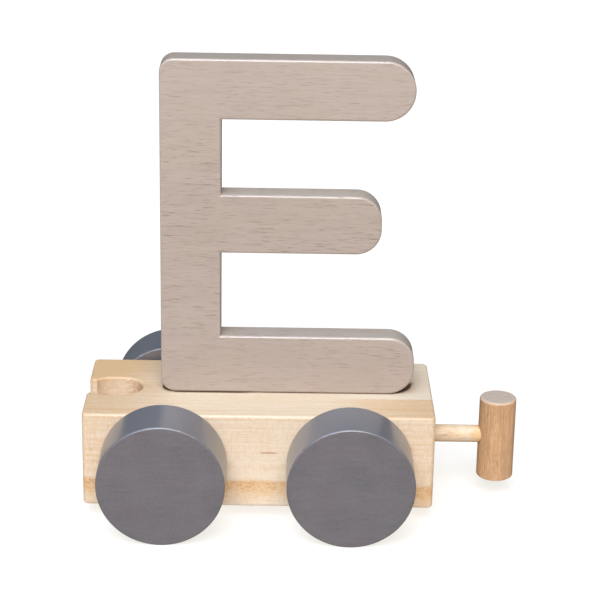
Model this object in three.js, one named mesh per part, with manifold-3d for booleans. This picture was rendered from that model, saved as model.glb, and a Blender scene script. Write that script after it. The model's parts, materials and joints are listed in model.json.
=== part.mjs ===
// Wooden letter wagon of an alphabet train.
// A painted letter E stands on a block that rolls on two wheelsets. Each wheelset is an axle that turns in
// a bore of the block, with a wheel glued on either end. A peg on the front end drops into the keyhole
// socket of the next wagon.
// Millimetres, +Z up, +X to the front (the hitch), -Y to the side from which the letter reads.
// The origin lies on the floor below the middle of the wagon's overall box.
import * as THREE from 'three';
import { mergeVertices } from 'three/addons/utils/BufferGeometryUtils.js';
import Module from 'manifold-3d';

const wasm = await Module();
wasm.setup();

// Block
const BLOCK_LENGTH = 74.8;
const BLOCK_WIDTH = 31.5;
const BLOCK_HEIGHT = 21;
const BLOCK_EDGE = 0.6; // rounding of the top and bottom edges and of the socket's rims
const BLOCK_CORNER_EASE = 0.6; // what the upright corners are rounded beyond the edges

// Keyhole socket in the block's rear end, open at the top, the bottom and the end
const SOCKET_WIDTH = 9.5;
const SOCKET_STRAIGHT = 2.1; // straight middle of the socket's sides, between its two round ends
const SOCKET_LIP = 1.6; // rear end face to where the mouth opens into the socket
const MOUTH_WIDTH = 6.6;
const MOUTH_EASE = 0.6; // what the mouth's corners are rounded beyond the edges

// Wheelsets
const WHEEL_DIAMETER = 26.8;
const WHEEL_THICKNESS = 12.3;
const WHEEL_EDGE = 0.4;
const WHEEL_PLAY = 0.5; // block's side to a wheel's inner face
const AXLE_DIAMETER = 6;
const AXLE_CHAMFER = 0.5;
const AXLE_GRIP = 8; // depth of the blind bore in a wheel
const AXLE_HEIGHT = 10.3; // block's underside to the axles
const REAR_AXLE_SETBACK = 17.3; // rear end face to the rear axle
const FRONT_AXLE_SETBACK = 18; // front end face to the front axle

// Letter, from the bottom up. The gap below the top arm takes what the other heights leave.
const LETTER_HEIGHT = 73.5;
const LETTER_THICKNESS = 6.2;
const LETTER_EDGE = 0.55;
const LETTER_SETBACK = 16.1; // block's rear end face to the stem's outer side
const STEM_WIDTH = 12.8;
const STEM_CORNER = 3;
const BOTTOM_ARM_HEIGHT = 13;
const BOTTOM_ARM_REACH = 54.5; // all three reaches count from the stem's outer side
const BOTTOM_ARM_CORNER = 5.6;
const LOWER_GAP = 18.75;
const MIDDLE_ARM_HEIGHT = 12.8;
const MIDDLE_ARM_REACH = 46.65;
const MIDDLE_ARM_CORNER = 5.4;
const TOP_ARM_HEIGHT = 12.75;
const TOP_ARM_REACH = 52.9;
const TOP_ARM_CORNER = 6.3;
const ARM_END_LIMIT = 0.49; // the largest share of an arm's height that one of its corners takes

// Two dowels that hold the letter to the block
const DOWEL_DIAMETER = 3;
const DOWEL_CHAMFER = 0.3;
const DOWEL_SINK = 6; // how far a dowel goes into the block
const DOWEL_RISE = 6; // how far it goes into the letter
const DOWEL_INSET = 9.15; // stem's outer side to the rear dowel
const DOWEL_SPACING = 24;

// Hitch
const HITCH_HEIGHT = 10.8; // block's underside to the rod's axis
const HITCH_REACH = 14.7; // front end face to the peg's axis
const ROD_DIAMETER = 3.8;
const ROD_CHAMFER = 0.3;
const ROD_PEG_SEAT = 5; // how far the rod goes into the peg
const ROD_WALL = 2.5; // wood between the rod's hole and the front axle's bore
const PEG_DIAMETER = 8;
const PEG_EDGE = 0.5;
const PEG_BELOW_ROD = 9.8;
const PEG_ABOVE_ROD = 8.8;

// Fits
const RUNNING_CLEARANCE = 0.3; // around an axle in the block
const GLUE_GAP = 0.15; // around and behind a glued pin
const GLUE_LINE = 0.1; // between the letter's foot and the block's top

// Facets
const ARC_STEPS = 5; // an outline's arc gets twice as many
const EDGE_STEPS = 3;
const WHEEL_SIDES = 48;
const AXLE_SIDES = 32;
const PEG_SIDES = 40;
const PIN_SIDES = 24;
const OVERCUT = 1; // how far a cutter stands out of the surface that it enters

// Finishes
const BLOCK_WOOD = { color: 0xeed8ba, roughness: 0.62 };
const LETTER_PAINT = { color: 0xc3b0a4, roughness: 0.5 };
const WHEEL_PAINT = { color: 0x7b7476, roughness: 0.42 };
const DOWEL_WOOD = { color: 0xe2c9a4, roughness: 0.7 };
const ROD_WOOD = { color: 0xf2dfc0, roughness: 0.6 };
const PEG_WOOD = { color: 0xd2a77f, roughness: 0.6 };

// Places in the wagon's frame: x from the block's middle, z from the floor
const wheelRadius = WHEEL_DIAMETER / 2;
const axleBoreRadius = AXLE_DIAMETER / 2 + RUNNING_CLEARANCE;
const rearEnd = -BLOCK_LENGTH / 2;
const frontEnd = BLOCK_LENGTH / 2;
const underside = wheelRadius - AXLE_HEIGHT;
const blockTop = underside + BLOCK_HEIGHT;
const axleXs = { rear: rearEnd + REAR_AXLE_SETBACK, front: frontEnd - FRONT_AXLE_SETBACK };
const letterFoot = blockTop + GLUE_LINE;
const stemSide = rearEnd + LETTER_SETBACK;
const dowelXs = { rear: stemSide + DOWEL_INSET, front: stemSide + DOWEL_INSET + DOWEL_SPACING };
const rodHeight = underside + HITCH_HEIGHT;
const rodHoleEnd = axleXs.front + axleBoreRadius + ROD_WALL;
const pegX = frontEnd + HITCH_REACH;

// A cylinder's own axis is Y. These turn it to the other two.
const alongX = (geometry) => geometry.rotateZ(-Math.PI / 2);
const alongZ = (geometry) => geometry.rotateX(Math.PI / 2);

// Closed solid of a geometry, with shared corners merged and slivers at a lathe's poles dropped.
function solidOf(geometry) {
  const bare = geometry.clone();
  bare.deleteAttribute('normal');
  bare.deleteAttribute('uv');
  const merged = mergeVertices(bare);
  const corners = merged.index.array;
  const triangles = [];
  for (let i = 0; i < corners.length; i += 3) {
    const [a, b, c] = [corners[i], corners[i + 1], corners[i + 2]];
    if (a !== b && b !== c && c !== a) triangles.push(a, b, c);
  }
  return new wasm.Manifold(
    new wasm.Mesh({
      numProp: 3,
      vertProperties: new Float32Array(merged.attributes.position.array),
      triVerts: new Uint32Array(triangles),
    }),
  );
}

function geometryOf(solid) {
  const mesh = solid.getMesh();
  const geometry = new THREE.BufferGeometry();
  geometry.setAttribute('position', new THREE.BufferAttribute(new Float32Array(mesh.vertProperties), 3));
  geometry.setIndex(new THREE.BufferAttribute(new Uint32Array(mesh.triVerts), 1));
  geometry.computeVertexNormals();
  return geometry;
}

// The geometry with every cutter taken out of it.
function cut(geometry, cutters) {
  return geometryOf(cutters.reduce((rest, cutter) => rest.subtract(solidOf(cutter)), solidOf(geometry)));
}

// A plate of the given outline, from z = 0 to its thickness, with both rims rounded inside the outline.
function roundedPlate(outline, thickness, edge) {
  const geometry = new THREE.ExtrudeGeometry(outline, {
    depth: thickness - 2 * edge,
    curveSegments: ARC_STEPS,
    bevelThickness: edge,
    bevelSize: edge,
    bevelOffset: -edge,
    bevelSegments: EDGE_STEPS,
  });
  return geometry.translate(0, 0, edge);
}

// A pin along Y from 0 to its length, with chamfered ends.
function pin(diameter, length, chamfer, sides) {
  const radius = diameter / 2;
  const profile = [
    new THREE.Vector2(0, 0),
    new THREE.Vector2(radius - chamfer, 0),
    new THREE.Vector2(radius, chamfer),
    new THREE.Vector2(radius, length - chamfer),
    new THREE.Vector2(radius - chamfer, length),
    new THREE.Vector2(0, length),
  ];
  return new THREE.LatheGeometry(profile, sides);
}

// The round hole that takes such a pin, from y = 0 to its depth.
function holeCutter(diameter, depth, sides) {
  return new THREE.CylinderGeometry(diameter / 2, diameter / 2, depth, sides).translate(0, depth / 2, 0);
}

// The block seen from above: a rectangle with rounded corners and the keyhole notched into its rear end.
function blockOutline() {
  const halfWidth = BLOCK_WIDTH / 2;
  const corner = BLOCK_EDGE + BLOCK_CORNER_EASE;
  const easing = BLOCK_EDGE + MOUTH_EASE;
  const halfMouth = MOUTH_WIDTH / 2;
  const socketRadius = SOCKET_WIDTH / 2;
  const lip = Math.PI - Math.asin(halfMouth / socketRadius); // angle at which a socket's side meets the mouth
  const nearX = rearEnd + SOCKET_LIP - socketRadius * Math.cos(lip);
  const farX = nearX + SOCKET_STRAIGHT;
  const quarter = Math.PI / 2;
  const outline = new THREE.Shape();
  outline.absarc(frontEnd - corner, corner - halfWidth, corner, -quarter, 0);
  outline.absarc(frontEnd - corner, halfWidth - corner, corner, 0, quarter);
  outline.absarc(rearEnd + corner, halfWidth - corner, corner, quarter, 2 * quarter);
  outline.absarc(rearEnd + easing, halfMouth + easing, easing, 2 * quarter, 3 * quarter);
  outline.absarc(nearX, 0, socketRadius, lip, quarter, true);
  outline.absarc(farX, 0, socketRadius, quarter, 0, true);
  outline.absarc(farX, 0, socketRadius, 0, -quarter, true);
  outline.absarc(nearX, 0, socketRadius, -quarter, -lip, true);
  outline.absarc(rearEnd + easing, -halfMouth - easing, easing, quarter, 2 * quarter);
  outline.absarc(rearEnd + corner, corner - halfWidth, corner, 2 * quarter, 3 * quarter);
  return outline;
}

// The block with its two axle bores, the rod's blind hole in the front end and the dowel holes in the top.
function baseBlock() {
  const boreLength = BLOCK_WIDTH + 2 * OVERCUT;
  const bores = Object.values(axleXs).map((x) =>
    holeCutter(2 * axleBoreRadius, boreLength, AXLE_SIDES).translate(x, -boreLength / 2, AXLE_HEIGHT),
  );
  const rodHole = alongX(
    holeCutter(ROD_DIAMETER + 2 * GLUE_GAP, frontEnd + OVERCUT - rodHoleEnd, PIN_SIDES),
  ).translate(rodHoleEnd, 0, HITCH_HEIGHT);
  const dowelDepth = DOWEL_SINK + GLUE_GAP;
  const dowelHoles = Object.values(dowelXs).map((x) =>
    alongZ(holeCutter(DOWEL_DIAMETER + 2 * GLUE_GAP, dowelDepth + OVERCUT, PIN_SIDES))
      .translate(x, 0, BLOCK_HEIGHT - dowelDepth),
  );
  const body = roundedPlate(blockOutline(), BLOCK_HEIGHT, BLOCK_EDGE);
  return cut(body, [...bores, rodHole, ...dowelHoles]);
}

// The letter E seen from the front, x from the stem's outer side and y from the foot. The two outer stem
// corners and the ends of the arms are round, and the inner corners are sharp.
function letterOutline() {
  const quarter = Math.PI / 2;
  const middleFoot = BOTTOM_ARM_HEIGHT + LOWER_GAP;
  const topFoot = LETTER_HEIGHT - TOP_ARM_HEIGHT;
  const outline = new THREE.Shape();
  const addArm = (foot, height, reach, corner) => {
    const radius = Math.min(corner, ARM_END_LIMIT * height);
    outline.absarc(reach - radius, foot + radius, radius, -quarter, 0);
    outline.absarc(reach - radius, foot + height - radius, radius, 0, quarter);
  };
  const addGap = (foot, top) => {
    outline.lineTo(STEM_WIDTH, foot);
    outline.lineTo(STEM_WIDTH, top);
  };
  outline.absarc(STEM_CORNER, STEM_CORNER, STEM_CORNER, 2 * quarter, 3 * quarter);
  addArm(0, BOTTOM_ARM_HEIGHT, BOTTOM_ARM_REACH, BOTTOM_ARM_CORNER);
  addGap(BOTTOM_ARM_HEIGHT, middleFoot);
  addArm(middleFoot, MIDDLE_ARM_HEIGHT, MIDDLE_ARM_REACH, MIDDLE_ARM_CORNER);
  addGap(middleFoot + MIDDLE_ARM_HEIGHT, topFoot);
  addArm(topFoot, TOP_ARM_HEIGHT, TOP_ARM_REACH, TOP_ARM_CORNER);
  outline.absarc(STEM_CORNER, LETTER_HEIGHT - STEM_CORNER, STEM_CORNER, quarter, 2 * quarter);
  return outline;
}

// The letter standing on its foot, centred on the block's width, with a hole for each dowel.
function letter() {
  const plate = roundedPlate(letterOutline(), LETTER_THICKNESS, LETTER_EDGE);
  plate.rotateX(Math.PI / 2).translate(stemSide, LETTER_THICKNESS / 2, 0);
  const holeDepth = DOWEL_RISE + GLUE_GAP;
  const holes = Object.values(dowelXs).map((x) =>
    alongZ(holeCutter(DOWEL_DIAMETER + 2 * GLUE_GAP, holeDepth + OVERCUT, PIN_SIDES))
      .translate(x, 0, -OVERCUT),
  );
  return cut(plate, holes);
}

// A wheel turned about Y, with the axle's blind bore in its inner face at y = 0 and a plain outer face.
function wheel() {
  const boreRadius = AXLE_DIAMETER / 2 + GLUE_GAP;
  const profile = new THREE.Path();
  profile.moveTo(0, AXLE_GRIP);
  profile.lineTo(boreRadius, AXLE_GRIP);
  profile.lineTo(boreRadius, 0);
  profile.absarc(wheelRadius - WHEEL_EDGE, WHEEL_EDGE, WHEEL_EDGE, -Math.PI / 2, 0);
  profile.absarc(wheelRadius - WHEEL_EDGE, WHEEL_THICKNESS - WHEEL_EDGE, WHEEL_EDGE, 0, Math.PI / 2);
  profile.lineTo(0, WHEEL_THICKNESS);
  return new THREE.LatheGeometry(profile.getPoints(EDGE_STEPS - 1), WHEEL_SIDES);
}

// The peg turned about Z from its foot up, with rounded ends and a blind hole for the rod.
function hitchPeg() {
  const radius = PEG_DIAMETER / 2;
  const length = PEG_BELOW_ROD + PEG_ABOVE_ROD;
  const profile = new THREE.Path();
  profile.moveTo(0, 0);
  profile.lineTo(radius - PEG_EDGE, 0);
  profile.absarc(radius - PEG_EDGE, PEG_EDGE, PEG_EDGE, -Math.PI / 2, 0);
  profile.absarc(radius - PEG_EDGE, length - PEG_EDGE, PEG_EDGE, 0, Math.PI / 2);
  profile.lineTo(0, length);
  const body = alongZ(new THREE.LatheGeometry(profile.getPoints(EDGE_STEPS - 1), PEG_SIDES));
  const holeDepth = ROD_PEG_SEAT + GLUE_GAP + OVERCUT;
  const hole = alongX(holeCutter(ROD_DIAMETER + 2 * GLUE_GAP, holeDepth, PIN_SIDES))
    .translate(-radius - OVERCUT, 0, PEG_BELOW_ROD);
  return cut(body, [hole]);
}

// A named piece at its place in its group, with a material of its own.
function part(name, geometry, finish, x, y, z) {
  const mesh = new THREE.Mesh(geometry, new THREE.MeshStandardMaterial({ ...finish, metalness: 0 }));
  mesh.name = name;
  mesh.position.set(x, y, z);
  return mesh;
}

// An axle with a wheel on either end, about the axle's middle.
function wheelset(end) {
  const axleReach = BLOCK_WIDTH / 2 + WHEEL_PLAY + AXLE_GRIP - GLUE_GAP;
  const wheelSeat = BLOCK_WIDTH / 2 + WHEEL_PLAY;
  const set = new THREE.Group();
  const axle = pin(AXLE_DIAMETER, 2 * axleReach, AXLE_CHAMFER, AXLE_SIDES);
  set.add(part(`${end}_axle`, axle, DOWEL_WOOD, 0, -axleReach, 0));
  set.add(part(`${end}_left_wheel`, wheel(), WHEEL_PAINT, 0, wheelSeat, 0));
  const right = part(`${end}_right_wheel`, wheel(), WHEEL_PAINT, 0, -wheelSeat, 0);
  right.rotation.z = Math.PI;
  set.add(right);
  set.position.set(axleXs[end], 0, wheelRadius);
  return set;
}

function letterDowel(end) {
  const dowel = alongZ(pin(DOWEL_DIAMETER, DOWEL_SINK + DOWEL_RISE + GLUE_LINE, DOWEL_CHAMFER, PIN_SIDES));
  return part(`letter_dowel_${end}`, dowel, DOWEL_WOOD, dowelXs[end], 0, blockTop - DOWEL_SINK);
}

function hitchRod() {
  const start = rodHoleEnd + GLUE_GAP;
  const end = pegX - PEG_DIAMETER / 2 + ROD_PEG_SEAT;
  const rod = alongX(pin(ROD_DIAMETER, end - start, ROD_CHAMFER, PIN_SIDES));
  return part('hitch_rod', rod, ROD_WOOD, start, 0, rodHeight);
}

const wagon = new THREE.Group();
wagon.add(part('base_block', baseBlock(), BLOCK_WOOD, 0, 0, underside));
wagon.add(part('letter', letter(), LETTER_PAINT, 0, 0, letterFoot));
for (const end of ['front', 'rear']) {
  wagon.add(letterDowel(end));
  wagon.add(wheelset(end));
}
wagon.add(hitchRod());
wagon.add(part('hitch_peg', hitchPeg(), PEG_WOOD, pegX, 0, rodHeight - PEG_BELOW_ROD));
wagon.position.x = -(rearEnd + pegX + PEG_DIAMETER / 2) / 2;

const letterWagon = new THREE.Group();
letterWagon.add(wagon);

export default letterWagon;
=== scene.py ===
import json
import math

import bpy
import numpy as np
from mathutils import Matrix, Vector

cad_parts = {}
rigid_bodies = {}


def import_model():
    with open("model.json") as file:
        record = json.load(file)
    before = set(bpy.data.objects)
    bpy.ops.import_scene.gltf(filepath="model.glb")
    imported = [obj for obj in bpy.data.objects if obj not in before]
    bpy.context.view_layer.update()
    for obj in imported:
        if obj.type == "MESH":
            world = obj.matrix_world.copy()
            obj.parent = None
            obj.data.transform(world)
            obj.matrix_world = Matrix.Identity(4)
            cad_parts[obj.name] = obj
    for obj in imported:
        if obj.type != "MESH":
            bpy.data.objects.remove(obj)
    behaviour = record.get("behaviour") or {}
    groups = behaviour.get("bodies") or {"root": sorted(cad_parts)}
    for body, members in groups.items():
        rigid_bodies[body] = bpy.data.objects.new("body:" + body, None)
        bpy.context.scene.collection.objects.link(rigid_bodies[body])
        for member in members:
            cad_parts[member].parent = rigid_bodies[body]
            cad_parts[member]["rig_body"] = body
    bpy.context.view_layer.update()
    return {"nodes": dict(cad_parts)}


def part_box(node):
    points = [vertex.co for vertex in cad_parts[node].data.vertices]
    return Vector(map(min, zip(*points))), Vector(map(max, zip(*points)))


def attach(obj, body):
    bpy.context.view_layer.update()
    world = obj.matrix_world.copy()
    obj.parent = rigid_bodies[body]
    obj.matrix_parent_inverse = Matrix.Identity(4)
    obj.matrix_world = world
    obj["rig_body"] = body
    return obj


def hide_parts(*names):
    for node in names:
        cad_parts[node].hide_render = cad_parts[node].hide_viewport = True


# Looks of a wooden letter wagon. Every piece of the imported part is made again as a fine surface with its
# finish. Metres, in the part's frame: +Z up, +X to the hitch peg, -Y to the side from which the letter
# reads.
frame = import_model()

MM = 0.001
QUARTER = math.pi / 2

# Places of the pieces, from the frame
BLOCK_LOW, BLOCK_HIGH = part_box("base_block")
LETTER_LOW, LETTER_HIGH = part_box("letter")
ROD_LOW, ROD_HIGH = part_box("hitch_rod")
PEG_LOW, PEG_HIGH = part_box("hitch_peg")

# Block and its keyhole socket
BLOCK_EDGE = 0.6 * MM
BLOCK_CORNER = 1.2 * MM
SOCKET_RADIUS = 4.75 * MM
SOCKET_STRAIGHT = 2.1 * MM
SOCKET_LIP = 1.6 * MM
MOUTH_HALF = 3.3 * MM
MOUTH_CORNER = 1.2 * MM

# Letter
LETTER_EDGE = 0.55 * MM
STEM_WIDTH = 12.8 * MM
STEM_CORNER = 3 * MM
BOTTOM_ARM_HEIGHT = 13 * MM
BOTTOM_ARM_CORNER = 5.6 * MM
LOWER_GAP = 18.75 * MM
MIDDLE_ARM_HEIGHT = 12.8 * MM
MIDDLE_ARM_REACH = 46.65 * MM
MIDDLE_ARM_CORNER = 5.4 * MM
TOP_ARM_HEIGHT = 12.75 * MM
TOP_ARM_REACH = 52.9 * MM
TOP_ARM_CORNER = 6.3 * MM

# Turned pieces and their fits
WHEEL_EDGE = 0.4 * MM
WHEEL_HUB = 2 * MM  # ring that the plain outer face is closed in
PIN_EDGE = 0.3 * MM
AXLE_EDGE = 0.5 * MM
AXLE_GRIP = 8 * MM
PEG_EDGE = 0.5 * MM
RUNNING_CLEARANCE = 0.3 * MM
GLUE_GAP = 0.15 * MM
OVERCUT = 1 * MM

# Fineness of the surfaces
ARC_STEPS = 24
EDGE_STEPS = 8
TURN_STEPS = 144
PIN_STEPS = 64
SHARP_ANGLE = math.radians(35)

# The photograph's camera
CAMERA_LENS = 118.07
CAMERA_SENSOR = 36
CAMERA_YAW = 0.5503
CAMERA_PITCH = 20.0616
CAMERA_ROLL = 0.9899
CAMERA_DISTANCE = 422.2785 * MM
CAMERA_TARGET = Vector((-0.94 * MM, 0, 44.564 * MM))


def arc(x, y, radius, start, end, steps=ARC_STEPS):
    """Circle's arc about (x, y): radius times (cos t, sin t), with t in equal steps from start to end."""
    t = np.linspace(start, end, steps + 1)
    return np.stack([x + radius * np.cos(t), y + radius * np.sin(t)], axis=1)


def mitres(outline):
    """Outward mitre at each corner of a closed outline.

    It is the sum of the two edges' unit normals, over 1 plus their dot product."""
    edge = np.roll(outline, -1, axis=0) - outline
    normal = np.stack([edge[:, 1], -edge[:, 0]], axis=1) / np.linalg.norm(edge, axis=1, keepdims=True)
    before = np.roll(normal, 1, axis=0)
    return (before + normal) / (1 + (before * normal).sum(axis=1, keepdims=True))


def plate_rings(outline, thickness, edge):
    """Board with rounded rims: ring v is the outline drawn in along its mitres by inset(v), at height(v).

    Inset and height run round two quarter circles of the edge's radius, one at each face."""
    t = np.linspace(0, QUARTER, EDGE_STEPS + 1)
    inset = edge * np.concatenate([1 - np.sin(t), 1 - np.cos(t)])
    height = np.concatenate([edge * (1 - np.cos(t)), thickness - edge * (1 - np.sin(t))])
    flat = outline - inset[:, None, None] * mitres(outline)
    return np.concatenate([flat, np.broadcast_to(height[:, None, None], (*flat.shape[:2], 1))], axis=2)


def turned_rings(profile, steps):
    """Turned piece: ring v is a circle of radius(v) at along(v). The profile has rows of (radius, along)."""
    u = np.linspace(0, 2 * math.pi, steps, endpoint=False)
    radius, along = profile[:, :1], profile[:, 1:]
    return np.stack(np.broadcast_arrays(radius * np.cos(u), radius * np.sin(u), along), axis=2)


def rounded_profile(radius, start, end, edge, core):
    """Profile of a round bar: a quarter circle at each rim, and flat ends in to the core's radius."""
    low = arc(radius - edge, start + edge, edge, -QUARTER, 0, EDGE_STEPS)
    high = arc(radius - edge, end - edge, edge, 0, QUARTER, EDGE_STEPS)
    return np.concatenate([[[core, start]], low, high, [[core, end]]])


def along_x(rings):
    """Rings that were stacked along Z, turned to lie along X."""
    return rings[..., [2, 0, 1]]


def along_y(rings):
    """Rings that were stacked along Z, turned to lie along Y."""
    return rings[..., [1, 2, 0]]


def solid(name, rings):
    """Closed mesh of stacked rings: quads from ring to ring, and a flat face on the first and the last."""
    rows, columns, _ = rings.shape
    index = np.arange(rows * columns).reshape(rows, columns)
    here, there = index[:-1], index[1:]
    quads = np.stack([here, np.roll(here, -1, axis=1), np.roll(there, -1, axis=1), there], axis=2)
    faces = quads.reshape(-1, 4).tolist() + [index[0, ::-1].tolist(), index[-1].tolist()]
    mesh = bpy.data.meshes.new(name)
    mesh.from_pydata(rings.reshape(-1, 3), [], faces)
    piece = bpy.data.objects.new(name, mesh)
    bpy.context.scene.collection.objects.link(piece)
    return piece


def bore(piece, cutters):
    """The piece with the cutters taken out of it. The cutters are used up."""
    for cutter in cutters:
        cut = piece.modifiers.new(cutter.name, "BOOLEAN")
        cut.operation = "DIFFERENCE"
        cut.solver = "EXACT"
        cut.object = cutter
    depsgraph = bpy.context.evaluated_depsgraph_get()
    mesh = bpy.data.meshes.new_from_object(piece.evaluated_get(depsgraph))
    piece.modifiers.clear()
    piece.data = mesh
    for cutter in cutters:
        bpy.data.objects.remove(cutter)


def bar(radius, start, end, edge, steps=PIN_STEPS):
    """Rings of a round bar with rounded ends."""
    return turned_rings(rounded_profile(radius, start, end, edge, radius / 2), steps)


def hole(radius, start, end):
    """Rings of a plain round cutter."""
    return turned_rings(np.array([[radius, start], [radius, end]]), PIN_STEPS)


def dress(piece, node, finish):
    """Shades the piece smooth between sharp edges, with its finish, and puts it in its CAD node's place."""
    piece.data.shade_smooth()
    piece.data.set_sharp_from_angle(angle=SHARP_ANGLE)
    shading = piece.modifiers.new("flat faces", "WEIGHTED_NORMAL")
    shading.keep_sharp = True
    piece.data.materials.clear()
    piece.data.materials.append(finish)
    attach(piece, frame["nodes"][node]["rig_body"])
    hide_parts(node)


class Value:
    """A number that a finish works out at each point. Operators on it add Math nodes."""

    def __init__(self, graph, socket):
        self.graph = graph
        self.socket = socket

    def math(self, operation, first, second=0.0):
        return self.graph.node("ShaderNodeMath", {"operation": operation}, {0: first, 1: second})

    def __add__(self, other):
        return self.math("ADD", self, other)

    def __radd__(self, other):
        return self.math("ADD", other, self)

    def __sub__(self, other):
        return self.math("SUBTRACT", self, other)

    def __rsub__(self, other):
        return self.math("SUBTRACT", other, self)

    def __mul__(self, other):
        return self.math("MULTIPLY", self, other)

    def __rmul__(self, other):
        return self.math("MULTIPLY", other, self)

    def __truediv__(self, other):
        return self.math("DIVIDE", self, other)

    def __pow__(self, other):
        return self.math("POWER", self, other)

    def __abs__(self):
        return self.math("ABSOLUTE", self)

    def fraction(self):
        return self.math("FRACT", self)

    def least(self, other):
        return self.math("MINIMUM", self, other)

    def most(self, other):
        return self.math("MAXIMUM", self, other)

    def share(self):
        """The number held between 0 and 1."""
        return self.most(0.0).least(1.0)


class Graph:
    """The nodes of a finish or of the sky."""

    def __init__(self, tree):
        self.tree = tree

    def node(self, kind, settings=None, sockets=None, output=0):
        """Adds a node: first its settings, then the values or links of its sockets."""
        made = self.tree.nodes.new(kind)
        for key, value in (settings or {}).items():
            setattr(made, key, value)
        for key, value in (sockets or {}).items():
            self.feed(made.inputs[key], value)
        return Value(self, made.outputs[output])

    def feed(self, socket, value):
        """Links a worked-out value to the socket, or sets a plain one on it."""
        if isinstance(value, Value):
            self.tree.links.new(value.socket, socket)
        else:
            socket.default_value = value

    def step(self, low, high, value):
        """0 below low, 1 above high and a smooth rise between."""
        return self.node(
            "ShaderNodeMapRange",
            {"interpolation_type": "SMOOTHSTEP"},
            {"Value": value, "From Min": low, "From Max": high},
        )

    def fall(self, low, high, value):
        """1 below low, 0 above high and a smooth fall between."""
        return 1 - self.step(low, high, value)

    def mix(self, share, first, second):
        """Colour that goes from the first to the second as the share goes from 0 to 1."""
        return self.node("ShaderNodeMix", {"data_type": "RGBA"}, {0: share, 6: first, 7: second}, output=2)


SPOT_STRENGTH = (0.4, 0.75)  # random strengths between which a spot comes out


class Finish(Graph):
    """One material. Its x, y and z are the place on the piece in millimetres, in the part's frame."""

    def __init__(self, name):
        self.material = bpy.data.materials.new(name)
        self.material.use_nodes = True
        super().__init__(self.material.node_tree)
        self.shader = self.tree.nodes["Principled BSDF"]
        metres = self.node("ShaderNodeTexCoord", output="Object")
        sockets = {"Vector": metres, "Scale": 1 / MM}
        self.place = self.node("ShaderNodeVectorMath", {"operation": "SCALE"}, sockets)
        self.x, self.y, self.z = (
            self.node("ShaderNodeSeparateXYZ", {}, {"Vector": self.place}, output=axis) for axis in "XYZ"
        )

    def cells(self, size, shift):
        """The place counted in cells of the given size in millimetres along X, Y and Z."""
        scale = tuple(1 / length for length in size)
        sockets = {"Vector": self.place, "Location": (shift, shift, shift), "Scale": scale}
        return self.node("ShaderNodeMapping", {}, sockets)

    def noise(self, size, detail=2.0, shift=0.0):
        """Soft noise from 0 to 1, about 0.5, with blobs of the given size."""
        sockets = {"Vector": self.cells(size, shift), "Scale": 1.0, "Detail": detail}
        return self.node("ShaderNodeTexNoise", {}, sockets)

    def swing(self, size, span=1.0, detail=2.0, shift=0.0):
        """The same noise about 0, over the given span.

        In a sum, the number beside such a noise says how much it counts."""
        return (self.noise(size, detail, shift) - 0.5) * span

    def spots(self, size, reach, shift=0.0):
        """Scattered spots, at most one in each cell of the given size, of random strength.

        The reach is a spot's radius as a share of the cell."""
        sockets = {"Vector": self.cells(size, shift), "Scale": 1.0}
        gap = self.node("ShaderNodeTexVoronoi", {}, sockets, output="Distance")
        strength = self.node("ShaderNodeTexVoronoi", {}, sockets, output="Color")
        return self.fall(reach / 2, reach, gap) * self.step(*SPOT_STRENGTH, strength)

    def coat(self, weight, roughness):
        """Adds a clear coat of the given weight and roughness."""
        self.shader.inputs["Coat Weight"].default_value = weight
        self.shader.inputs["Coat Roughness"].default_value = roughness

    def finish(self, colour, roughness, height):
        """Links the colour, the roughness and the relief, whose height is in millimetres."""
        bump = self.node("ShaderNodeBump", {}, {"Height": height, "Distance": MM, "Strength": 1.0})
        self.feed(self.shader.inputs["Base Color"], colour)
        self.feed(self.shader.inputs["Roughness"], roughness)
        self.feed(self.shader.inputs["Normal"], bump)
        return self.material


def tint(red, green, blue):
    """Colour from screen values of 0 to 255, as the shader's linear values."""
    share = np.array([red, green, blue]) / 255
    linear = np.where(share > 0.04045, ((share + 0.055) / 1.055) ** 2.4, share / 12.92)
    return (*linear.tolist(), 1.0)


def rim(value, low, high, edge):
    """1 on the middle of the rounded rims at low and high, 0 on the flats: 4 times the share times its rest.

    The share goes from 0 to 1 over the edge's width, with all in millimetres."""
    depth = abs(value - (low + high) / 2) - ((high - low) / 2 - edge)
    share = (depth / edge).share()
    return share * (1 - share) * 4


# Block wood
CREAM = tint(204, 184, 160)
HONEY = tint(188, 152, 113)
BAND = tint(194, 152, 104)
BAND_DEEP = tint(164, 110, 62)
MARK = tint(157, 98, 60)
# painted shade under the letter
LETTER_SHADE = tint(84, 50, 26)
FIBRE_AND_HIGHLIGHT = tint(222, 205, 182)
ASH = tint(201, 188, 170)

# Sizes of the block's grain in millimetres along X, Y and Z
WAVE_SIZE = (9, 5, 3)
MOTTLE_SIZE = (1.3, 0.8, 0.6)
GRIT_SIZE = (0.5, 0.3, 0.3)
LINE_SIZE = (40, 0.42, 0.42)
FIBRE_SIZE = (7, 0.16, 0.16)
CLOUD_SIZE = (26, 7, 7)
FLECK_SIZE = (3.5, 0.9, 0.9)
HATCH_SIZE = (0.22, 0.3, 1.4)
STRIPE_SIZE = (70, 0.9, 0.9)
TORN_SIZE = (1.8, 0.5, 0.6)

# Growth rings
PITH_Y = 9  # the rings' middle, in the tree below the block
PITH_Z = -30
RING_GAP = 2.3
LATE_WOOD = (0.3, 0.95)  # part of a ring over which it darkens

# Limits of a noise between which a look goes from none to all
STRIPE_NOISE = (0.56, 0.74)
FRAY_AND_HIGHLIGHT_NOISE = (0.1, 0.3)
BAND_NOISE = (-0.15, 0.3)
FLECK_REACH = 0.2  # a fleck's radius as a share of its cell

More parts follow.
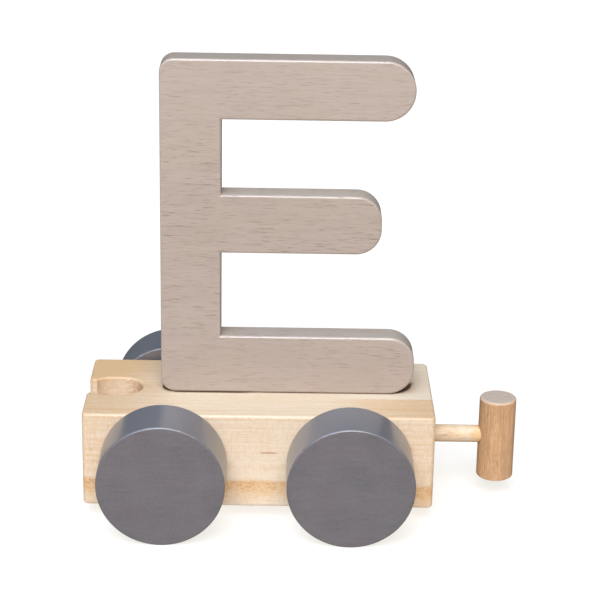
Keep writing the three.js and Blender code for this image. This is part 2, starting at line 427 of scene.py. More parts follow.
# Where looks begin and end, in millimetres from a face, an end or the middle of the block or its socket
TOP_SKIN = (-1, -0.3)
FRONT_SKIN = (0.3, 1)
END_SKIN = (-0.5, -0.15)
END_WARMTH = (14, 38)
REAR_PART = (4, 24)
RIGHT_PART = (-26, -8)
SOCKET_FAR = (12, 13)
SOCKET_SIDE = (5, 6)
END_GRAIN_AND_SHADE = (8, 12)
END_GRAIN_AND_SHADE_RISE = (-11, -4)
FRAY_AND_HIGHLIGHT_REACH = (0.1, 0.5)
FRAY_AND_HIGHLIGHT_DEPTH = (-1.2, -0.4)

# The same from a side of the letter
# Painted shade under the letter's round corners, and a painted shadow line along the stem's foot
SHADE_EDGE = (0, 0.9)
SHADE_BACK = (-0.4, 1.6)
SHADE_LEFT = (-0.1, 0.3)
SHADE_RIGHT = (0, 0.8)
SHADOW_LINE_WIDTH = (0.02, 0.32)
SHADOW_LINE_START = (1, 4)

# Places in millimetres in the part's frame, and the dash's size about its own
GREY_EDGE = (-6, -5.2)
BAND_TOP = (8.8, 9.8)
BAND_FOOT = (4.2, 7.6)
BAND_DARK = (6.3, 8.9)
SHADOW_LINE_END = (-14, -9)
DASH_X = -7.2
DASH_Z = 15.7
DASH_THICKNESS = (0.03, 0.2)
DASH_REACH = (0.78, 2.6)

# How warm the ground is all over, and how much warmer in some places
WARM_BASE = 0.14
WARM_ENDS = 0.28
WARM_TOP = 0.07
WARM_REAR = 0.8
WARM_RIGHT = 0.4
WARM_STRIPE = 0.25
WARM_WALL_AND_SHADE = 0.15

# How strong each look is, from 0 to 1
EARLY_WOOD_SHARE = 0.1
LATE_WOOD_SHARE = 0.5
END_GRAIN_AND_SHADE_SHARE = 0.6
FRAY_AND_HIGHLIGHT_SHARE = 0.7
ASH_SHARE = 0.4
BAND_SHARE = 0.8
BAND_DEEP_SHARE = 0.45
BAND_DEEP_ENDS = 0.4
DASH_SHARE = 0.85
FLECK_SHARE = 0.16
SHADOW_LINE_SHARE = 0.85
SHADE_SHARE = 0.95

# Roughness, and relief in millimetres
BLOCK_ROUGHNESS = 0.58
LINE_HEIGHT = 0.012
FIBRE_HEIGHT = 0.016
FLECK_DEPTH = 0.02


class BlockWood(Finish):
    """The block's finish: pale wood with the grain along X. Its noises and places are worked out once."""

    def __init__(self):
        super().__init__("block_wood")
        self.low, self.high = BLOCK_LOW / MM, BLOCK_HIGH / MM
        self.along = self.x - (self.low.x + self.high.x) / 2
        self.ring = ((self.y - PITH_Y) ** 2 + (self.z - PITH_Z) ** 2) ** 0.5
        self.wave = self.swing(WAVE_SIZE, 2.0, detail=3, shift=9)
        self.mottle = self.swing(MOTTLE_SIZE, detail=3, shift=6)
        self.grit = self.swing(GRIT_SIZE, shift=14)
        self.line = self.swing(LINE_SIZE, detail=4, shift=2)
        self.fibre = self.swing(FIBRE_SIZE)
        self.cloud = self.swing(CLOUD_SIZE, shift=5)
        self.torn = self.swing(TORN_SIZE, detail=4, shift=17)
        self.fleck = self.spots(FLECK_SIZE, FLECK_REACH, shift=3)
        self.top = self.step(*TOP_SKIN, self.z - self.high.z)
        self.front = self.fall(*FRONT_SKIN, self.y - self.low.y)
        self.ends = self.step(*END_WARMTH, abs(self.along))
        self.right = self.step(*RIGHT_PART, self.x - self.high.x)
        self.grey = self.right * self.step(*GREY_EDGE, self.y + self.wave * 0.4)
        hollow = self.fall(*SOCKET_FAR, self.x - self.low.x) * self.fall(*SOCKET_SIDE, abs(self.y))
        self.wall = hollow * (1 - self.top)

    def ground(self):
        """Cream to honey: warm along lines and fibres and to the ends, tan on parts of the top."""
        hatch = self.swing(HATCH_SIZE, shift=23)
        stripe = self.step(*STRIPE_NOISE, self.noise(STRIPE_SIZE, detail=3, shift=21))
        back = self.step(self.low.y, self.high.y, self.y + self.cloud * 8)
        rear = self.fall(*REAR_PART, self.x - self.low.x) * (0.3 + 0.7 * back)
        tan = self.right * 0.9 - self.grey * 1.5
        grain = self.line + self.fibre * 0.6 + self.cloud * 0.4 + self.mottle * 0.5 + self.grit * 0.5
        warm = WARM_BASE + grain + self.ends * WARM_ENDS + hatch * self.front
        warm = warm + self.top * (rear * WARM_REAR + tan * WARM_RIGHT + stripe * WARM_STRIPE + WARM_TOP)
        # warmer and darker inside the socket: torn wood, and painted shade in the hollow
        warm = warm + self.wall * (WARM_WALL_AND_SHADE + self.torn * 1.6)
        return self.mix(warm.share(), CREAM, HONEY)

    def end_rings(self, colour):
        """Growth rings on the two end faces: each darkens with the distance from the rings' middle."""
        half = (self.high.x - self.low.x) / 2
        butt = self.step(*END_SKIN, abs(self.along) - half)
        year = self.step(*LATE_WOOD, (self.ring / RING_GAP + self.wave * 0.12).fraction())
        return self.mix(butt * (EARLY_WOOD_SHARE + year * LATE_WOOD_SHARE), colour, BAND)

    def socket_depth(self):
        """Distance in millimetres from the wall of the keyhole's round part, seen from above.

        It is the distance from the line between the centres of its two round ends, less their radius.
        More than 0 is wood."""
        start = (BLOCK_LOW.x + SOCKET_LIP + (SOCKET_RADIUS ** 2 - MOUTH_HALF ** 2) ** 0.5) / MM
        along = self.x - self.x.most(start).least(start + SOCKET_STRAIGHT / MM)
        return (along ** 2 + self.y ** 2) ** 0.5 - SOCKET_RADIUS / MM

    def socket_wall(self, colour):
        """Torn wood in the keyhole: brown end grain at its far end, darkened further as painted shade, and
        pale fibres round its upper rim that are partly a painted highlight.
        """
        grain_and_shade = self.wall * self.step(*END_GRAIN_AND_SHADE, self.x - self.low.x + self.torn * 3)
        grain_and_shade = grain_and_shade * (0.5 + 0.5 * self.step(*END_GRAIN_AND_SHADE_RISE, self.z - self.high.z))
        colour = self.mix(grain_and_shade * (END_GRAIN_AND_SHADE_SHARE + self.torn * 1.5).share(), colour, BAND_DEEP)
        frayed_and_lit = self.fall(*FRAY_AND_HIGHLIGHT_REACH, abs(self.socket_depth()))
        frayed_and_lit = frayed_and_lit * self.step(*FRAY_AND_HIGHLIGHT_NOISE, self.torn + self.mottle * 0.6)
        frayed_and_lit = frayed_and_lit * self.step(*FRAY_AND_HIGHLIGHT_DEPTH, self.z - self.high.z)
        return self.mix(frayed_and_lit * FRAY_AND_HIGHLIGHT_SHARE, colour, FIBRE_AND_HIGHLIGHT)

    def brown_band(self, colour):
        """One brown band that follows the growth rings through the block, darkest along its upper side.

        A point's level is the height at which its ring meets the front face: the root of (ring radius squared
        less the square of the face's distance from the rings' middle), counted from that middle."""
        level = (self.ring ** 2 - (self.low.y - PITH_Y) ** 2) ** 0.5 + PITH_Z
        ragged = level + self.wave * 0.5 + self.mottle * 1.3 + self.grit * 0.8 + self.along.most(0.0) * 0.03
        band = self.fall(*BAND_TOP, ragged) * self.step(*BAND_FOOT, ragged)
        speckle = self.step(*BAND_NOISE, self.mottle + self.grit + self.line * 0.6)
        deep = band * self.step(*BAND_DARK, ragged) * speckle
        colour = self.mix(band * (BAND_SHARE + self.fibre * 0.8 + self.grit * 1.4).share(), colour, BAND)
        return self.mix(deep * (BAND_DEEP_SHARE + self.ends * BAND_DEEP_ENDS), colour, BAND_DEEP)

    def marks(self, colour):
        """One short dark dash on the front face, and faint flecks all over."""
        dash = self.front * self.fall(*DASH_THICKNESS, abs(self.z - DASH_Z + self.mottle * 0.2))
        dash = dash * self.fall(*DASH_REACH, abs(self.x - DASH_X))
        return self.mix((dash * DASH_SHARE).most(self.fleck * FLECK_SHARE), colour, MARK)

    def corner_gap(self, start, end):
        """Height in millimetres of the letter's two round bottom corners above the block.

        It is a corner's radius less the root of (radius squared less the way into the corner squared)."""

        def height(radius, way):
            return radius - (radius ** 2 - way.most(0.0) ** 2).most(0.0) ** 0.5

        stem, arm = STEM_CORNER / MM, BOTTOM_ARM_CORNER / MM
        return height(stem, start + stem - self.x) + height(arm, self.x - end + arm)

    def letter_shade(self, colour):
        """Painted shade on the top under the letter's round corners, and a painted shadow line along the
        stem's foot.
        """
        low, high = LETTER_LOW / MM, LETTER_HIGH / MM
        under = self.step(*SHADE_EDGE, self.y - low.y - self.corner_gap(low.x, high.x) + self.mottle * 0.4)
        under = under * self.fall(*SHADE_BACK, self.y - high.y)
        under = under * self.step(*SHADE_LEFT, self.x - low.x) * self.fall(*SHADE_RIGHT, self.x - high.x)
        shadow_line = self.fall(*SHADOW_LINE_WIDTH, abs(self.y) - high.y + self.grit * 0.3)
        shadow_line = shadow_line * self.step(*SHADOW_LINE_START, self.x - low.x) * self.fall(*SHADOW_LINE_END, self.x + self.wave * 2)
        return self.mix(self.top * under.most(shadow_line * SHADOW_LINE_SHARE) * SHADE_SHARE, colour, LETTER_SHADE)


def block_wood():
    """Pale wood with fine lines and fibres, end rings, a torn socket, a brown band, a dash, and painted shade
    and highlight.
    """
    wood = BlockWood()
    colour = wood.end_rings(wood.ground())
    colour = wood.socket_wall(colour)
    colour = wood.mix(wood.top * wood.grey * ASH_SHARE, colour, ASH)
    colour = wood.brown_band(colour)
    colour = wood.marks(colour)
    colour = wood.letter_shade(colour)
    rounded_rim = rim(wood.z, wood.low.z, wood.high.z, BLOCK_EDGE / MM)
    roughness = BLOCK_ROUGHNESS + wood.fibre * 0.2 - rounded_rim * 0.08
    height = wood.line * LINE_HEIGHT + wood.fibre * FIBRE_HEIGHT - wood.fleck * FLECK_DEPTH
    return wood.finish(colour, roughness, height)


# Letter paint. Sizes, places, heights and depths are in millimetres, a coat is its weight and roughness.
TAUPE = tint(150, 133, 121)
TAUPE_LIGHT = tint(164, 147, 135)
TAUPE_OLIVE = tint(151, 135, 117)
TAUPE_EDGE_LIT = tint(177, 162, 149)
TAUPE_EDGE_TOP = tint(158, 143, 131)
TAUPE_DARK = tint(108, 91, 80)
PALE = tint(214, 200, 190)
LETTER_COAT = (0.5, 0.3)
STREAK_SIZE = (11, 0.7, 0.5)
TONE_SIZE = (9, 6, 4)
CROWD_SIZE = (9, 4, 5)
CROWD_NOISE = (0.35, 0.62)
OLIVE_SIZE = (8, 5, 6)
OLIVE_NOISE = (0.44, 0.6)
FINE_SIZE = (2.8, 0.232, 0.16)
FINE_NOISE = (0.54, 0.74)
PORE_SIZE = (7, 1.6, 1.6)
PORE_REACH = 0.12
SPECK_SIZE = (6, 5, 6)
SPECK_REACH = 0.035
FACE_SKIN = (-0.55, -0.1)
UPPER_PART = (-6, -2)
LOWER_PART = (14, 18)
INNER_HALF = 36
LETTER_LIGHT = 0.7
OLIVE_SHARE = 0.6
EDGE_LIGHT_SHARE = 0.75
PORE_SHARE = 0.95
SPECK_SHARE = 0.8
LETTER_ROUGHNESS = 0.4
STREAK_HEIGHT = 0.014
FINE_DEPTH = 0.02
PORE_DEPTH = 0.04


def letter_paint():
    """Thin satin paint over an open-pored board, grain along X: soft streaks, short pores, a few specks, and
    painted light.
    """
    paint = Finish("letter_paint")
    paint.coat(*LETTER_COAT)
    low, high = LETTER_LOW / MM, LETTER_HIGH / MM
    streak = paint.swing(STREAK_SIZE, detail=4, shift=2)
    tone = paint.swing(TONE_SIZE, shift=7)
    crowd = paint.step(*CROWD_NOISE, paint.noise(CROWD_SIZE, shift=4))
    olive = paint.step(*OLIVE_NOISE, paint.noise(OLIVE_SIZE, shift=15))
    fine = paint.step(*FINE_NOISE, paint.noise(FINE_SIZE, shift=1)) * (0.6 + crowd * 0.4)
    pore = paint.spots(PORE_SIZE, PORE_REACH, shift=11) * (0.3 + crowd * 0.7)
    speck = paint.spots(SPECK_SIZE, SPECK_REACH, shift=6)
    rounded_rim = rim(paint.y, low.y, high.y, LETTER_EDGE / MM)
    edge = paint.fall(*FACE_SKIN, abs(paint.y) - high.y)
    upper = paint.step(*UPPER_PART, paint.z - high.z)
    lower = paint.fall(*LOWER_PART, paint.z - low.z)
    # lighter towards the top and the foot, darker about the middle of the height: painted light
    inner = 1 - abs(paint.z - (low.z + high.z) / 2) / INNER_HALF
    # lighter on the rounded rims: partly rubbed paint, partly a painted highlight
    light = LETTER_LIGHT - inner * 0.4 + streak * 0.8 + tone * 0.35 + rounded_rim * 0.5
    colour = paint.mix(light.share(), paint.mix(olive * OLIVE_SHARE, TAUPE, TAUPE_OLIVE), TAUPE_LIGHT)
    # painted light on the thickness faces: lighter where the arms above shade them, less so at the top and
    # the foot
    edge_light = paint.mix(upper.most(lower * 0.5), TAUPE_EDGE_LIT, TAUPE_EDGE_TOP)
    colour = paint.mix(edge * EDGE_LIGHT_SHARE, colour, edge_light)
    colour = paint.mix((fine * (0.5 + inner * 0.35)).most(pore * PORE_SHARE), colour, TAUPE_DARK)
    colour = paint.mix(speck * SPECK_SHARE, colour, PALE)
    roughness = LETTER_ROUGHNESS + streak * 0.12 + pore * 0.2 - rounded_rim * 0.1
    height = streak * STREAK_HEIGHT - fine * FINE_DEPTH - pore * PORE_DEPTH
    return paint.finish(colour, roughness, height)


# Wheel paint, in the same terms
SLATE = tint(90, 83, 84)
SLATE_LIGHT = tint(101, 94, 96)
SLATE_COOL = tint(85, 84, 83)
SLATE_SHEEN = tint(95, 94, 99)
SLATE_PALE = tint(150, 145, 148)
WHEEL_COAT = (0.75, 0.3)
WHEEL_CLOUD_SIZE = (6, 6, 6)
WHEEL_GRAIN_SIZE = (5, 0.8, 0.4)
PEEL_SIZE = (0.5, 0.5, 0.5)
WHEEL_SPECK_SIZE = (5, 5, 5)
CHIP_SIZE = (0.8, 0.8, 0.8)
CHIP_NOISE = (0.6, 0.7)
PATCH_SIZE = (3.5, 3.5, 3.5)
PATCH_NOISE = (0.44, 0.58)
TREAD_EDGE = (-0.3, -0.1)
PATCH_SHARE = 0.7
RIM_HIGHLIGHT_SHARE = 0.1
CHIP_SHARE = 0.5
WHEEL_SPECK_SHARE = 0.6
WHEEL_ROUGHNESS = 0.36
GRAIN_HEIGHT = 0.004
PEEL_HEIGHT = 0.002


def wheel_paint():
    """Glossy grey paint on turned wood: faint clouds and grain, a painted sheen on the tread, pale rims that
    are partly chipped and partly a painted highlight, and specks.
    """
    paint = Finish("wheel_paint")
    paint.coat(*WHEEL_COAT)
    low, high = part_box("front_left_wheel")
    half = (high.y - low.y) / 2 / MM
    across = abs(paint.y) - (high.y + low.y) / 2 / MM
    cloud = paint.swing(WHEEL_CLOUD_SIZE, detail=3)
    grain = paint.swing(WHEEL_GRAIN_SIZE, detail=3, shift=3)
    peel = paint.swing(PEEL_SIZE, detail=1, shift=8)
    speck = paint.spots(WHEEL_SPECK_SIZE, SPECK_REACH, shift=5)
    chip = paint.step(*CHIP_NOISE, paint.noise(CHIP_SIZE, shift=12))
    patch = paint.step(*PATCH_NOISE, paint.noise(PATCH_SIZE, shift=18))
    rounded_rim = rim(across, -half, half, WHEEL_EDGE / MM)
    tread = paint.fall(*TREAD_EDGE, abs(across) - half)
    light = (0.5 + cloud * 1.3 + grain * 1.2 + peel * 1.4).share()
    colour = paint.mix(light, paint.mix(patch * PATCH_SHARE, SLATE, SLATE_COOL), SLATE_LIGHT)
    # bluer and lighter on the tread: painted sheen
    colour = paint.mix(tread, colour, SLATE_SHEEN)
    # pale rims: chipped paint, and a painted highlight all round
    chips_and_highlight = rounded_rim * (RIM_HIGHLIGHT_SHARE + chip * CHIP_SHARE)
    colour = paint.mix(chips_and_highlight.most(speck * WHEEL_SPECK_SHARE), colour, SLATE_PALE)
    roughness = WHEEL_ROUGHNESS + cloud * 0.08 + grain * 0.06 + rounded_rim * 0.1
    height = grain * GRAIN_HEIGHT + peel * PEEL_HEIGHT
    return paint.finish(colour, roughness, height)


# Hitch peg, its rod and the hidden dowels, in the same terms. A grain is its fibres' length and thickness.
PEG_PALE = tint(188, 148, 109)
PEG_DEEP = tint(157, 116, 78)
PEG_PORE = tint(105, 71, 44)
PEG_END = tint(172, 155, 142)
PEG_END_LINE = tint(146, 130, 118)
PEG_RIM_HIGHLIGHT = tint(205, 178, 150)
PEG_GRAIN = (7, 0.3)
PEG_END_SKIN = (-0.25, -0.02)
PEG_RING_GAP = 1.7
PEG_RING_LINE = (0.55, 0.9)
PEG_RING_WAVE_SIZE = (2, 2, 2)
PEG_RING_SHARE = 0.35
PEG_END_SHARE = 0.85
PEG_RIM_HIGHLIGHT_SHARE = 0.4
ROD_PALE = tint(203, 184, 162)
ROD_DEEP = tint(188, 156, 116)
ROD_PORE = tint(156, 117, 77)
ROD_UNDER_SHADE = tint(181, 135, 79)
ROD_GRAIN = (9, 0.4)
ROD_WOBBLE_SIZE = (3, 1, 1)
ROD_BELOW = (-1.8, -1.0)
ROD_UNDER_SHADE_SHARE = 0.75
GLUE = tint(190, 142, 66)
GLUE_REACH = (-2.4, 0.2)
GLUE_SHARE = 0.55
DOWEL_PALE = tint(212, 179, 140)
DOWEL_DEEP = tint(191, 152, 110)
DOWEL_GRAIN = (10, 0.35)
DOWEL_PORE_NOISE = (0.64, 0.72)
DOWEL_PORE_SHARE = 0.5
DOWEL_ROUGHNESS = 0.5
DOWEL_FIBRE_HEIGHT = 0.02
DOWEL_PORE_DEPTH = 0.04


def straight_wood(name, pale, deep, pore_colour, grain, axis):
    """Bare dowel stock with the grain along one axis: fibres, clouds and dark pores.

    Gives the finish with its colour, roughness and height, for more to be added."""
    wood = Finish(name)
    along, across = grain
    size = {"x": (along, across, across), "y": (across, along, across), "z": (across, across, along)}[axis]
    fibre = wood.swing(size, detail=3)
    cloud = wood.swing(tuple(length * 6 for length in size), shift=4)
    dots = wood.swing(tuple(min(length, 1) for length in size), shift=2)
    pore = wood.step(*DOWEL_PORE_NOISE, wood.noise(tuple(length / 3 for length in size), detail=1, shift=8))
    colour = wood.mix((0.5 + fibre * 1.7 + cloud * 0.7 + dots * 1.2).share(), pale, deep)
    colour = wood.mix(pore * DOWEL_PORE_SHARE, colour, pore_colour)
    roughness = DOWEL_ROUGHNESS + (fibre + 0.5) * 0.2
    height = fibre * DOWEL_FIBRE_HEIGHT - pore * DOWEL_PORE_DEPTH
    return wood, colour, roughness, height


def peg_wood():
    """Tan dowel with upright grain and grey ends, which have faint rings about a point beside the peg, and a
    painted highlight on its rims.
    """
    wood, colour, roughness, height = straight_wood("peg_wood", PEG_PALE, PEG_DEEP, PEG_PORE, PEG_GRAIN, "z")
    low, high = PEG_LOW / MM, PEG_HIGH / MM
    end = wood.step(*PEG_END_SKIN, abs(wood.z - (low.z + high.z) / 2) - (high.z - low.z) / 2)
    ring = ((wood.x - high.x) ** 2 + (wood.y - high.y * 2) ** 2) ** 0.5 / PEG_RING_GAP
    ring = ring + wood.swing(PEG_RING_WAVE_SIZE, 1.4, shift=3)
    late = wood.step(*PEG_RING_LINE, ring.fraction())
    face = wood.mix(late * PEG_RING_SHARE, PEG_END, PEG_END_LINE)
    rounded_rim = rim(wood.z, low.z, high.z, PEG_EDGE / MM)
    colour = wood.mix(end * PEG_END_SHARE, colour, face)
    # pale rims: painted highlight
    colour = wood.mix(rounded_rim * PEG_RIM_HIGHLIGHT_SHARE, colour, PEG_RIM_HIGHLIGHT)
    return wood.finish(colour, roughness, height)


def rod_wood():
    """Pale dowel with the grain along X, darker tan below as painted shade, with a smear of yellow glue at
    the peg.
    """
    wood, colour, roughness, height = straight_wood("rod_wood", ROD_PALE, ROD_DEEP, ROD_PORE, ROD_GRAIN, "x")
    axis = (ROD_LOW.z + ROD_HIGH.z) / 2 / MM
    wobble = wood.swing(ROD_WOBBLE_SIZE, 1.2, shift=5)
    below = wood.fall(*ROD_BELOW, wood.z - axis + wobble * 0.5)
    glue = wood.step(*GLUE_REACH, wood.x - PEG_LOW.x / MM + wobble * 1.6)
    # darker tan underneath: painted shade
    colour = wood.mix(below * ROD_UNDER_SHADE_SHARE, colour, ROD_UNDER_SHADE)
    colour = wood.mix(glue * GLUE_SHARE, colour, GLUE)
    return wood.finish(colour, roughness, height)


def dowel_wood():
    """Plain dowel stock for the hidden axles and pins."""
    parts = straight_wood("dowel_wood", DOWEL_PALE, DOWEL_DEEP, ROD_PORE, DOWEL_GRAIN, "y")
    wood, colour, roughness, height = parts
    return wood.finish(colour, roughness, height)


def block_outline():
    """The block from above, counter-clockwise: round corners, and the keyhole as arcs in the rear end."""
    front, rear, half = BLOCK_HIGH.x, BLOCK_LOW.x, BLOCK_HIGH.y
    inner = half - BLOCK_CORNER
    mouth = MOUTH_HALF + MOUTH_CORNER
    lip = math.pi - math.asin(MOUTH_HALF / SOCKET_RADIUS)
    near = rear + SOCKET_LIP - SOCKET_RADIUS * math.cos(lip)
    return np.concatenate([
        arc(front - BLOCK_CORNER, -inner, BLOCK_CORNER, -QUARTER, 0),
        arc(front - BLOCK_CORNER, inner, BLOCK_CORNER, 0, QUARTER),
        arc(rear + BLOCK_CORNER, inner, BLOCK_CORNER, QUARTER, 2 * QUARTER),
        arc(rear + MOUTH_CORNER, mouth, MOUTH_CORNER, 2 * QUARTER, 3 * QUARTER),
        arc(near, 0, SOCKET_RADIUS, lip, QUARTER),
        arc(near + SOCKET_STRAIGHT, 0, SOCKET_RADIUS, QUARTER, -QUARTER, 2 * ARC_STEPS),
        arc(near, 0, SOCKET_RADIUS, -QUARTER, -lip),
        arc(rear + MOUTH_CORNER, -mouth, MOUTH_CORNER, QUARTER, 2 * QUARTER),
        arc(rear + BLOCK_CORNER, -inner, BLOCK_CORNER, 2 * QUARTER, 3 * QUARTER),
    ])


def base_block(finish):
    """The block, with cross bores for the axles and wells for the letter's dowels and the hitch rod."""
    rings = plate_rings(block_outline(), BLOCK_HIGH.z - BLOCK_LOW.z, BLOCK_EDGE)
    block = solid("planed_block", rings + np.array([0, 0, BLOCK_LOW.z]))
    cutters = []
    for end in ("front", "rear"):
        low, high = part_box(f"{end}_axle")
        radius = (high.z - low.z) / 2 + RUNNING_CLEARANCE
        axis = np.array([(low.x + high.x) / 2, 0, (low.z + high.z) / 2])
        bore_rings = along_y(hole(radius, BLOCK_LOW.y - OVERCUT, BLOCK_HIGH.y + OVERCUT))
        cutters.append(solid(f"{end}_bore", bore_rings + axis))
        low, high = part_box(f"letter_dowel_{end}")
        radius = (high.x - low.x) / 2 + GLUE_GAP
        well_rings = hole(radius, low.z - GLUE_GAP, BLOCK_HIGH.z + OVERCUT)
        cutters.append(solid(f"{end}_well", well_rings + np.array([(low.x + high.x) / 2, 0, 0])))
    radius = (ROD_HIGH.z - ROD_LOW.z) / 2 + GLUE_GAP
    rod_rings = along_x(hole(radius, ROD_LOW.x - GLUE_GAP, BLOCK_HIGH.x + OVERCUT))
    cutters.append(solid("rod_well", rod_rings + np.array([0, 0, (ROD_LOW.z + ROD_HIGH.z) / 2])))
    bore(block, cutters)
    dress(block, "base_block", finish)


def letter_outline():
    """The letter from the front, counter-clockwise: arcs at its round corners, points at its sharp ones."""
    height = LETTER_HIGH.z - LETTER_LOW.z
    middle = BOTTOM_ARM_HEIGHT + LOWER_GAP
    top = height - TOP_ARM_HEIGHT

    def arm(foot, arm_height, reach, corner):
        return [
            arc(reach - corner, foot + corner, corner, -QUARTER, 0),
            arc(reach - corner, foot + arm_height - corner, corner, 0, QUARTER),
        ]

    return np.concatenate([
        arc(STEM_CORNER, STEM_CORNER, STEM_CORNER, 2 * QUARTER, 3 * QUARTER),
        *arm(0, BOTTOM_ARM_HEIGHT, LETTER_HIGH.x - LETTER_LOW.x, BOTTOM_ARM_CORNER),
        [[STEM_WIDTH, BOTTOM_ARM_HEIGHT], [STEM_WIDTH, middle]],
        *arm(middle, MIDDLE_ARM_HEIGHT, MIDDLE_ARM_REACH, MIDDLE_ARM_CORNER),
        [[STEM_WIDTH, middle + MIDDLE_ARM_HEIGHT], [STEM_WIDTH, top]],
        *arm(top, TOP_ARM_HEIGHT, TOP_ARM_REACH, TOP_ARM_CORNER),
        arc(STEM_CORNER, height - STEM_CORNER, STEM_CORNER, QUARTER, 2 * QUARTER),
    ])


def letter(finish):
    """The letter's board, stood on edge, with two wells for its dowels in the foot."""
    rings = plate_rings(letter_outline(), LETTER_HIGH.y - LETTER_LOW.y, LETTER_EDGE)
    upright = np.stack([rings[..., 0], -rings[..., 2], rings[..., 1]], axis=2)
    board = solid("painted_letter", upright + np.array([LETTER_LOW.x, LETTER_HIGH.y, LETTER_LOW.z]))
    cutters = []
    for end in ("front", "rear"):
        low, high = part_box(f"letter_dowel_{end}")
        rings = hole((high.x - low.x) / 2 + GLUE_GAP, LETTER_LOW.z - OVERCUT, high.z + GLUE_GAP)
        cutters.append(solid(f"{end}_foot_well", rings + np.array([(low.x + high.x) / 2, 0, 0])))
    bore(board, cutters)
    dress(board, "letter", finish)


def wheel_profile(width, radius, bore_radius):
    """Wheel's half section from the blind bore's floor, round the inner rim, the tread and the outer rim.

    It has rows of (radius, way out from the inner face), with a quarter circle at each rim."""
    start = [[bore_radius / 2, AXLE_GRIP], [bore_radius, AXLE_GRIP], [bore_radius, 0]]
    inner = arc(radius - WHEEL_EDGE, WHEEL_EDGE, WHEEL_EDGE, -QUARTER, 0, EDGE_STEPS)
    outer = arc(radius - WHEEL_EDGE, width - WHEEL_EDGE, WHEEL_EDGE, 0, QUARTER, EDGE_STEPS)
    return np.concatenate([start, inner, outer, [[WHEEL_HUB, width]]])


def wheelset(end, wheel_finish, axle_finish):
    """One axle and its two wheels. The right wheel is the left one turned by half a turn about Z."""
    axle_low, axle_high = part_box(f"{end}_axle")
    axle_radius = (axle_high.z - axle_low.z) / 2
    centre = np.array([(axle_low.x + axle_high.x) / 2, 0, (axle_low.z + axle_high.z) / 2])
    rings = along_y(bar(axle_radius, axle_low.y, axle_high.y, AXLE_EDGE))
    dress(solid(f"{end}_axle_dowel", rings + centre), f"{end}_axle", axle_finish)
    for side, turn in (("left", 1), ("right", -1)):
        low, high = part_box(f"{end}_{side}_wheel")
        profile = wheel_profile(high.y - low.y, (high.z - low.z) / 2, axle_radius + GLUE_GAP)
        inner_face = np.array([0, min(abs(low.y), abs(high.y)), 0])
        rings = along_y(turned_rings(profile, TURN_STEPS)) + inner_face
        wheel = solid(f"{end}_{side}_painted_wheel", rings * np.array([turn, turn, 1]) + centre)
        dress(wheel, f"{end}_{side}_wheel", wheel_finish)


def letter_dowel(end, finish):
    """One upright dowel between the letter's foot and the block."""
    low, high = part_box(f"letter_dowel_{end}")
    rings = bar((high.x - low.x) / 2, low.z, high.z, PIN_EDGE)
    pin = solid(f"letter_pin_{end}", rings + np.array([(low.x + high.x) / 2, 0, 0]))
    dress(pin, f"letter_dowel_{end}", finish)


def hitch(rod_finish, peg_finish):
    """The rod, and the upright peg with a blind well for the rod's end."""
    height = (ROD_LOW.z + ROD_HIGH.z) / 2
    rod_radius = (ROD_HIGH.z - ROD_LOW.z) / 2
    rod_rings = along_x(bar(rod_radius, ROD_LOW.x, ROD_HIGH.x, PIN_EDGE))
    dress(solid("hitch_dowel", rod_rings + np.array([0, 0, height])), "hitch_rod", rod_finish)
    peg_radius = (PEG_HIGH.y - PEG_LOW.y) / 2
    peg_rings = bar(peg_radius, PEG_LOW.z, PEG_HIGH.z, PEG_EDGE, TURN_STEPS)
    peg = solid("upright_peg", peg_rings + np.array([(PEG_LOW.x + PEG_HIGH.x) / 2, 0, 0]))
    well_rings = along_x(hole(rod_radius + GLUE_GAP, PEG_LOW.x - OVERCUT, ROD_HIGH.x + GLUE_GAP))
    bore(peg, [solid("peg_well", well_rings + np.array([0, 0, height]))])
    dress(peg, "hitch_peg", peg_finish)


def photo_camera():
    """Camera that looks at the target from the photograph's distance, with its yaw, pitch and roll.

    Yaw turns the view about Z, pitch tips it down and roll turns the picture about the line of sight."""
    yaw, pitch, roll = (math.radians(angle) for angle in (CAMERA_YAW, CAMERA_PITCH, CAMERA_ROLL))
    forward = Vector((math.sin(yaw) * math.cos(pitch), math.cos(yaw) * math.cos(pitch), -math.sin(pitch)))
    level = Vector((math.cos(yaw), -math.sin(yaw), 0))
    right = math.cos(roll) * level + math.sin(roll) * level.cross(forward)
    up = right.cross(forward)
    camera = bpy.data.objects.new("photo_camera", bpy.data.cameras.new("photo_camera"))
    camera.data.lens = CAMERA_LENS
    camera.data.sensor_width = CAMERA_SENSOR
    camera.location = CAMERA_TARGET - CAMERA_DISTANCE * forward
    camera.rotation_euler = Matrix((right, up, -forward)).transposed().to_euler()
    bpy.context.scene.collection.objects.link(camera)
    bpy.context.scene.camera = camera


# Studio: a light's strength is what a face square to it receives. The floor's half is in metres, its cloud
# size and relief are in millimetres.
SKY_LOW = (0.09, 0.087, 0.085, 1.0)
SKY_HIGH = (0.22, 0.24, 0.24, 1.0)
SKY_RISE = (0.31, 0.5)  # sines of the heights between which the sky brightens
KEY_COLOUR = (1.0, 0.935, 0.9)
KEY_STRENGTH = 3.6
KEY_HEIGHT = 42.5  # degrees above the floor
KEY_TURN = 0  # degrees to the right of the front
KEY_WIDTH = 40  # degrees across
FILL_COLOUR = (0.5, 0.72, 0.97)
FILL_STRENGTH = 3.25
FILL_HEIGHT = 60
FILL_TURN = -25
FILL_WIDTH = 50
FLOOR_HALF = 6
FLOOR_POINTS = 3  # along each side
FLOOR_CLOUD_SIZE = (200, 200, 200)
FLOOR_ROUGHNESS = 0.8
FLOOR_RELIEF = 0.01
FLOOR_LIGHT_GREY = (0.22, 0.22, 0.22, 1.0)
FLOOR_GREY = (0.2, 0.2, 0.2, 1.0)
FLOOR_GLOW = (1.0, 0.97, 0.92, 1.0)
FLOOR_GLOW_STRENGTH = 0.78


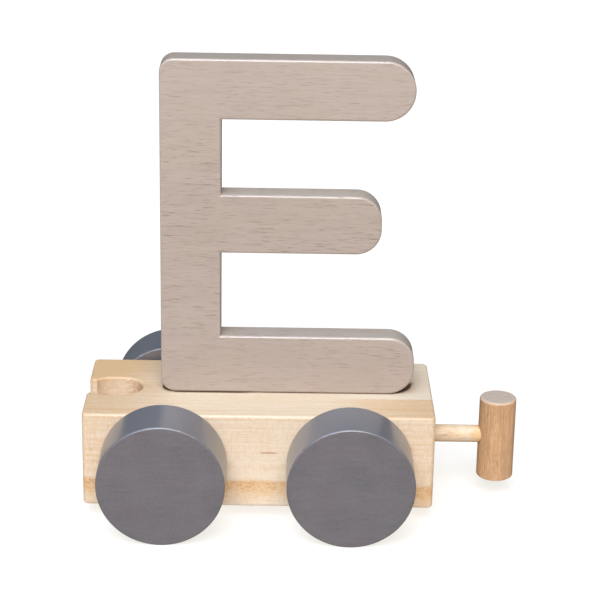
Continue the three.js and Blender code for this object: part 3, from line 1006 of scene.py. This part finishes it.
def distant_light(name, colour, strength, height, turn, width):
    """A far light, with its height, its turn from the front and its width in the sky in degrees."""
    light = bpy.data.objects.new(name, bpy.data.lights.new(name, "SUN"))
    light.data.color = colour
    light.data.energy = strength
    light.data.angle = math.radians(width)
    light.rotation_euler = (math.radians(90 - height), 0, math.radians(turn))
    bpy.context.scene.collection.objects.link(light)


def sky_and_lights():
    """A broad warm key from the front, a blue fill from high on the left and a dim sky, brighter overhead."""
    world = bpy.data.worlds.new("studio")
    world.use_nodes = True
    sky = Graph(world.node_tree)
    direction = sky.node("ShaderNodeTexCoord", output="Generated")
    rise = sky.step(*SKY_RISE, sky.node("ShaderNodeSeparateXYZ", {}, {"Vector": direction}, output="Z"))
    sky.feed(sky.tree.nodes["Background"].inputs["Color"], sky.mix(rise, SKY_LOW, SKY_HIGH))
    bpy.context.scene.world = world
    distant_light("key_light", KEY_COLOUR, KEY_STRENGTH, KEY_HEIGHT, KEY_TURN, KEY_WIDTH)
    distant_light("fill_light", FILL_COLOUR, FILL_STRENGTH, FILL_HEIGHT, FILL_TURN, FILL_WIDTH)


def lit_table():
    """A flat grey table in the floor plane, made white by a glow of its own."""
    span = np.linspace(-FLOOR_HALF, FLOOR_HALF, FLOOR_POINTS)
    index = np.arange(FLOOR_POINTS ** 2).reshape(FLOOR_POINTS, FLOOR_POINTS)
    corners = np.stack([*np.meshgrid(span, span), np.zeros(index.shape)], axis=2).reshape(-1, 3)
    near, far = index[:-1], index[1:]
    quads = np.stack([near[:, :-1], near[:, 1:], far[:, 1:], far[:, :-1]], axis=2).reshape(-1, 4)
    mesh = bpy.data.meshes.new("floor")
    mesh.from_pydata(corners, [], quads.tolist())
    floor = bpy.data.objects.new("floor", mesh)
    bpy.context.scene.collection.objects.link(floor)
    table = Finish("floor_table")
    table.shader.inputs["Emission Color"].default_value = FLOOR_GLOW
    table.shader.inputs["Emission Strength"].default_value = FLOOR_GLOW_STRENGTH
    cloud = table.noise(FLOOR_CLOUD_SIZE)
    colour = table.mix(cloud, FLOOR_LIGHT_GREY, FLOOR_GREY)
    roughness = FLOOR_ROUGHNESS + cloud * 0.1
    height = cloud * FLOOR_RELIEF
    mesh.materials.append(table.finish(colour, roughness, height))
    floor.visible_glossy = False  # keeps the bright table out of the paint's reflections


photo_camera()
sky_and_lights()
lit_table()
bpy.context.scene.view_settings.view_transform = "Standard"
wheel_finish = wheel_paint()
dowel_finish = dowel_wood()
base_block(block_wood())
letter(letter_paint())
for row_end in ("front", "rear"):
    wheelset(row_end, wheel_finish, dowel_finish)
    letter_dowel(row_end, dowel_finish)
hitch(rod_wood(), peg_wood())
